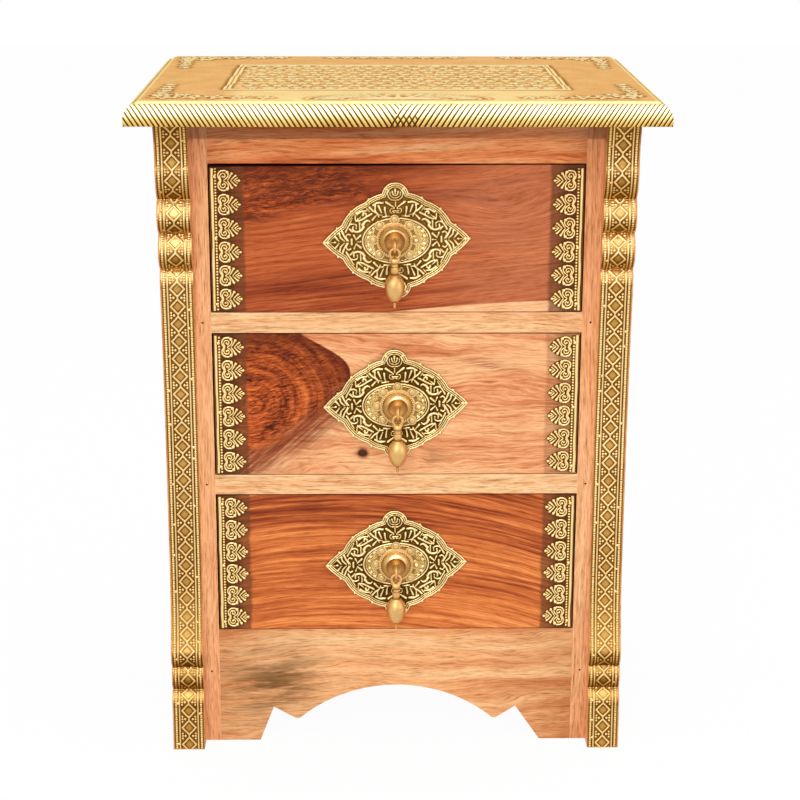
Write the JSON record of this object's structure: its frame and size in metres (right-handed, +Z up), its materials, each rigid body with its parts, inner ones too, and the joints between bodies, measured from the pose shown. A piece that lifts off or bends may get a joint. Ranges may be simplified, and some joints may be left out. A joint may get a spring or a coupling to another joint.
{
  "type": "bedside chest of drawers",
  "caption": "Small wooden chest of drawers with brass-clad carved corner posts, an embossed brass top, brass palmette trims and drop pulls on ornate backplates.",
  "frame": {"origin": "on the floor under the middle of the chest", "axes": "+Z up, -Y towards the front, +X to the right seen from the front"},
  "size_m": [0.453, 0.332, 0.61],
  "materials": {
    "frame_wood": "waxed satin",
    "drawer_front_wood": "polished satin",
    "inner_wood": "bare",
    "wood_stopping": "matt",
    "embossed_brass": "antique, dark in the recesses",
    "cast_brass": "antique, rubbed bright"
  },
  "bodies": {
    "carcass": {"top_board": "frame_wood", "top_brass_sheet": "embossed_brass", "front_post_left": "frame_wood", "front_post_right": "frame_wood", "post_brass_left": "embossed_brass", "post_brass_right": "embossed_brass", "back_post_left": "frame_wood", "back_post_right": "frame_wood", "stile_left": "frame_wood", "stile_right": "frame_wood", "top_rail": "frame_wood", "upper_drawer_rail": "frame_wood", "lower_drawer_rail": "frame_wood", "apron": "frame_wood", "pin_plugs": "wood_stopping", "side_top_rail_left": "frame_wood", "side_top_rail_right": "frame_wood", "side_bottom_rail_left": "frame_wood", "side_bottom_rail_right": "frame_wood", "side_panel_left": "frame_wood", "side_panel_right": "frame_wood", "back_top_rail": "frame_wood", "back_bottom_rail": "frame_wood", "back_panel": "inner_wood", "drawer_runners_left": "inner_wood", "drawer_runners_right": "inner_wood", "drawer_kickers": "inner_wood"},
    "upper_drawer": {"upper_drawer_front": "drawer_front_wood", "upper_drawer_side_left": "inner_wood", "upper_drawer_side_right": "inner_wood", "upper_drawer_back": "inner_wood", "upper_drawer_bottom": "inner_wood", "upper_drawer_trim_left": "embossed_brass", "upper_drawer_trim_right": "embossed_brass", "upper_pull_plate": "embossed_brass", "upper_pull_rosette": "cast_brass", "upper_pull_staple": "cast_brass"},
    "upper_drop": {"upper_pull_drop": "cast_brass"},
    "middle_drawer": {"middle_drawer_front": "drawer_front_wood", "middle_drawer_side_left": "inner_wood", "middle_drawer_side_right": "inner_wood", "middle_drawer_back": "inner_wood", "middle_drawer_bottom": "inner_wood", "middle_drawer_trim_left": "embossed_brass", "middle_drawer_trim_right": "embossed_brass", "middle_pull_plate": "embossed_brass", "middle_pull_rosette": "cast_brass", "middle_pull_staple": "cast_brass"},
    "middle_drop": {"middle_pull_drop": "cast_brass"},
    "lower_drawer": {"lower_drawer_front": "drawer_front_wood", "lower_drawer_side_left": "inner_wood", "lower_drawer_side_right": "inner_wood", "lower_drawer_back": "inner_wood", "lower_drawer_bottom": "inner_wood", "lower_drawer_trim_left": "embossed_brass", "lower_drawer_trim_right": "embossed_brass", "lower_pull_plate": "embossed_brass", "lower_pull_rosette": "cast_brass", "lower_pull_staple": "cast_brass"},
    "lower_drop": {"lower_pull_drop": "cast_brass"}
  },
  "joints": [
    {"name": "upper_drawer_slide", "type": "slide", "parent": "carcass", "child": "upper_drawer", "axis": [0, -1, 0], "range_m": [0, 0.17]},
    {"name": "upper_drop_swing", "type": "hinge", "parent": "upper_drawer", "child": "upper_drop", "pos_m": [-0.0022, -0.1084, 0.47733], "axis": [-1, 0, 0], "range_deg": [-2, 90]},
    {"name": "middle_drawer_slide", "type": "slide", "parent": "carcass", "child": "middle_drawer", "axis": [0, -1, 0], "range_m": [0, 0.17]},
    {"name": "middle_drop_swing", "type": "hinge", "parent": "middle_drawer", "child": "middle_drop", "pos_m": [0.0008, -0.1084, 0.3258], "axis": [-1, 0, 0], "range_deg": [-2, 90]},
    {"name": "lower_drawer_slide", "type": "slide", "parent": "carcass", "child": "lower_drawer", "axis": [0, -1, 0], "range_m": [0, 0.17]},
    {"name": "lower_drop_swing", "type": "hinge", "parent": "lower_drawer", "child": "lower_drop", "pos_m": [-0.0003, -0.1084, 0.17447], "axis": [-1, 0, 0], "range_deg": [-2, 90]}
  ]
}
